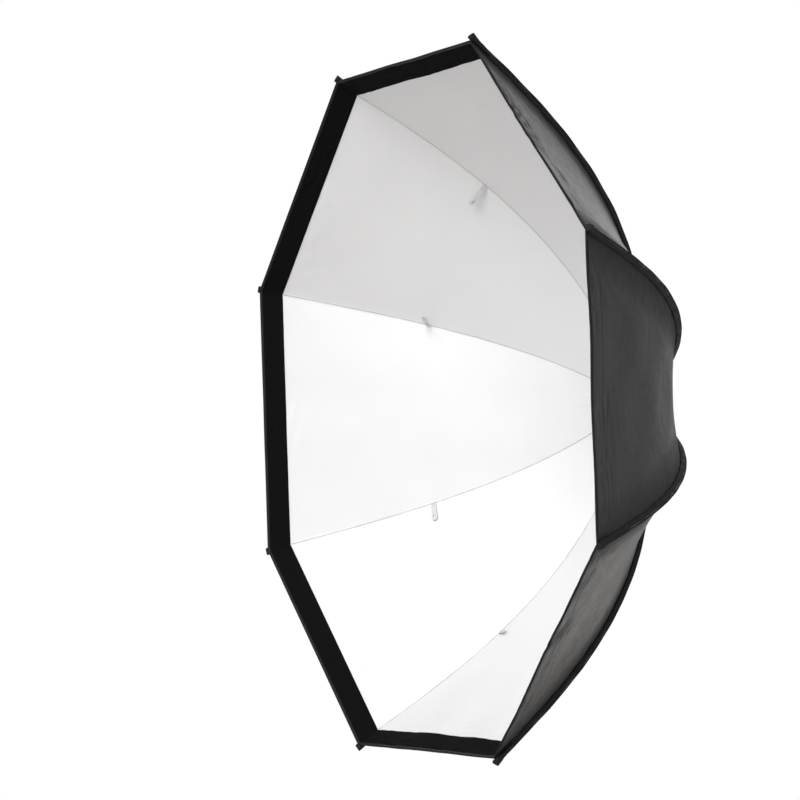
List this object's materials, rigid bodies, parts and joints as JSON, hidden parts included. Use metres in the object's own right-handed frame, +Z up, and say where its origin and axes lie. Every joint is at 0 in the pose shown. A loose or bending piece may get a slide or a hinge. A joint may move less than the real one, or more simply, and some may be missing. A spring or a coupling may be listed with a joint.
{
  "type": "studio softbox",
  "caption": "Large octagonal softbox for a studio light: bowed rods fold on a speed ring and stretch a black canopy with a white lining; a bayonet adaptor turns at the back.",
  "frame": {"origin": "centre of the bayonet adaptor's rear seat, the flat ring face that meets the light", "axes": "+Y along the light's axis towards the light, so the mouth faces -Y; +Z up; +X completes a right-handed frame"},
  "size_m": [1.4042, 0.5547, 1.4042],
  "materials": {
    "black_metal": "satin black powder coat",
    "satin_aluminium": "satin machined",
    "steel": "bright pins",
    "black_plastic": "fine matte texture",
    "red_plastic": "fine matte texture",
    "rod_black": "smooth resin-bonded glass fibre",
    "canopy_fabric": "coated black nylon outside, satin white lining inside",
    "white_ribbon": "woven white ribbon"
  },
  "bodies": {
    "adaptor": {"bayonet_adaptor": "satin_aluminium", "retaining_ring": "black_metal"},
    "ring": {"speed_ring": "black_metal", "hinge_pin_1": "steel", "hinge_pin_2": "steel", "hinge_pin_3": "steel", "hinge_pin_4": "steel", "hinge_pin_5": "steel", "hinge_pin_6": "steel", "hinge_pin_7": "steel", "hinge_pin_8": "steel"},
    "lock_knob": {"rotation_lock_knob": "black_plastic"},
    "rib_1": {"rod_holder_1": "black_metal", "rod_1": "rod_black", "rod_tip_1": "black_plastic", "canopy_panel_1": "canopy_fabric", "diffuser_tab_1": "white_ribbon"},
    "rib_2": {"rod_holder_2": "black_metal", "rod_2": "rod_black", "rod_tip_2": "black_plastic", "canopy_panel_2": "canopy_fabric", "diffuser_tab_2": "white_ribbon"},
    "rib_3": {"rod_holder_3": "black_metal", "rod_3": "rod_black", "rod_tip_3": "black_plastic", "canopy_panel_3": "canopy_fabric", "diffuser_tab_3": "white_ribbon"},
    "rib_4": {"rod_holder_4": "black_metal", "rod_4": "rod_black", "rod_tip_4": "black_plastic", "canopy_panel_4": "canopy_fabric", "diffuser_tab_4": "white_ribbon"},
    "rib_5": {"rod_holder_5": "black_metal", "rod_5": "rod_black", "rod_tip_5": "black_plastic", "canopy_panel_5": "canopy_fabric", "diffuser_tab_5": "white_ribbon"},
    "rib_6": {"rod_holder_6": "black_metal", "rod_6": "rod_black", "rod_tip_6": "black_plastic", "canopy_panel_6": "canopy_fabric", "diffuser_tab_6": "white_ribbon"},
    "rib_7": {"rod_holder_7": "black_metal", "rod_7": "rod_black", "rod_tip_7": "black_plastic", "canopy_panel_7": "canopy_fabric", "diffuser_tab_7": "white_ribbon"},
    "rib_8": {"rod_holder_8": "black_metal", "rod_8": "rod_black", "rod_tip_8": "black_plastic", "canopy_panel_8": "canopy_fabric", "diffuser_tab_8": "white_ribbon"},
    "catch_1": {"release_catch_1": "red_plastic"},
    "catch_2": {"release_catch_2": "red_plastic"},
    "catch_3": {"release_catch_3": "red_plastic"},
    "catch_4": {"release_catch_4": "red_plastic"},
    "catch_5": {"release_catch_5": "red_plastic"},
    "catch_6": {"release_catch_6": "red_plastic"},
    "catch_7": {"release_catch_7": "red_plastic"},
    "catch_8": {"release_catch_8": "red_plastic"}
  },
  "joints": [
    {"name": "ring_turn", "type": "hinge", "parent": "adaptor", "child": "ring", "pos_m": [0, 0, 0], "axis": [0, 1, 0], "continuous": true},
    {"name": "knob_turn", "type": "hinge", "parent": "ring", "child": "lock_knob", "pos_m": [0, -0.0155, 0.07], "axis": [0, 0, 1], "range_deg": [0, 360]},
    {"name": "rib_fold_1", "type": "hinge", "parent": "ring", "child": "rib_1", "pos_m": [0.07206, -0.0155, 0.02985], "axis": [0.3827, 0, -0.9239], "range_deg": [0, 50], "deforming": ["canopy_panel_1"]},
    {"name": "rib_fold_2", "type": "hinge", "parent": "ring", "child": "rib_2", "pos_m": [0.02985, -0.0155, 0.07206], "axis": [0.9239, 0, -0.3827], "range_deg": [0, 50], "deforming": ["canopy_panel_2"]},
    {"name": "rib_fold_3", "type": "hinge", "parent": "ring", "child": "rib_3", "pos_m": [-0.02985, -0.0155, 0.07206], "axis": [0.9239, 0, 0.3827], "range_deg": [0, 50], "deforming": ["canopy_panel_3"]},
    {"name": "rib_fold_4", "type": "hinge", "parent": "ring", "child": "rib_4", "pos_m": [-0.07206, -0.0155, 0.02985], "axis": [0.3827, 0, 0.9239], "range_deg": [0, 50], "deforming": ["canopy_panel_4"]},
    {"name": "rib_fold_5", "type": "hinge", "parent": "ring", "child": "rib_5", "pos_m": [-0.07206, -0.0155, -0.02985], "axis": [-0.3827, 0, 0.9239], "range_deg": [0, 50], "deforming": ["canopy_panel_5"]},
    {"name": "rib_fold_6", "type": "hinge", "parent": "ring", "child": "rib_6", "pos_m": [-0.02985, -0.0155, -0.07206], "axis": [-0.9239, 0, 0.3827], "range_deg": [0, 50], "deforming": ["canopy_panel_6"]},
    {"name": "rib_fold_7", "type": "hinge", "parent": "ring", "child": "rib_7", "pos_m": [0.02985, -0.0155, -0.07206], "axis": [-0.9239, 0, -0.3827], "range_deg": [0, 50], "deforming": ["canopy_panel_7"]},
    {"name": "rib_fold_8", "type": "hinge", "parent": "ring", "child": "rib_8", "pos_m": [0.07206, -0.0155, -0.02985], "axis": [-0.3827, 0, -0.9239], "range_deg": [0, 50], "deforming": ["canopy_panel_8"]},
    {"name": "catch_push_1", "type": "slide", "parent": "ring", "child": "catch_1", "axis": [0, 1, 0], "range_m": [0, 0.0025], "stiffness_N_per_m": 500},
    {"name": "catch_push_2", "type": "slide", "parent": "ring", "child": "catch_2", "axis": [0, 1, 0], "range_m": [0, 0.0025], "stiffness_N_per_m": 500},
    {"name": "catch_push_3", "type": "slide", "parent": "ring", "child": "catch_3", "axis": [0, 1, 0], "range_m": [0, 0.0025], "stiffness_N_per_m": 500},
    {"name": "catch_push_4", "type": "slide", "parent": "ring", "child": "catch_4", "axis": [0, 1, 0], "range_m": [0, 0.0025], "stiffness_N_per_m": 500},
    {"name": "catch_push_5", "type": "slide", "parent": "ring", "child": "catch_5", "axis": [0, 1, 0], "range_m": [0, 0.0025], "stiffness_N_per_m": 500},
    {"name": "catch_push_6", "type": "slide", "parent": "ring", "child": "catch_6", "axis": [0, 1, 0], "range_m": [0, 0.0025], "stiffness_N_per_m": 500},
    {"name": "catch_push_7", "type": "slide", "parent": "ring", "child": "catch_7", "axis": [0, 1, 0], "range_m": [0, 0.0025], "stiffness_N_per_m": 500},
    {"name": "catch_push_8", "type": "slide", "parent": "ring", "child": "catch_8", "axis": [0, 1, 0], "range_m": [0, 0.0025], "stiffness_N_per_m": 500}
  ],
  "couplings": [
    {"joint": "rib_fold_2", "follows": "rib_fold_1", "ratio": 1},
    {"joint": "rib_fold_3", "follows": "rib_fold_1", "ratio": 1},
    {"joint": "rib_fold_4", "follows": "rib_fold_1", "ratio": 1},
    {"joint": "rib_fold_5", "follows": "rib_fold_1", "ratio": 1},
    {"joint": "rib_fold_6", "follows": "rib_fold_1", "ratio": 1},
    {"joint": "rib_fold_7", "follows": "rib_fold_1", "ratio": 1},
    {"joint": "rib_fold_8", "follows": "rib_fold_1", "ratio": 1}
  ]
}
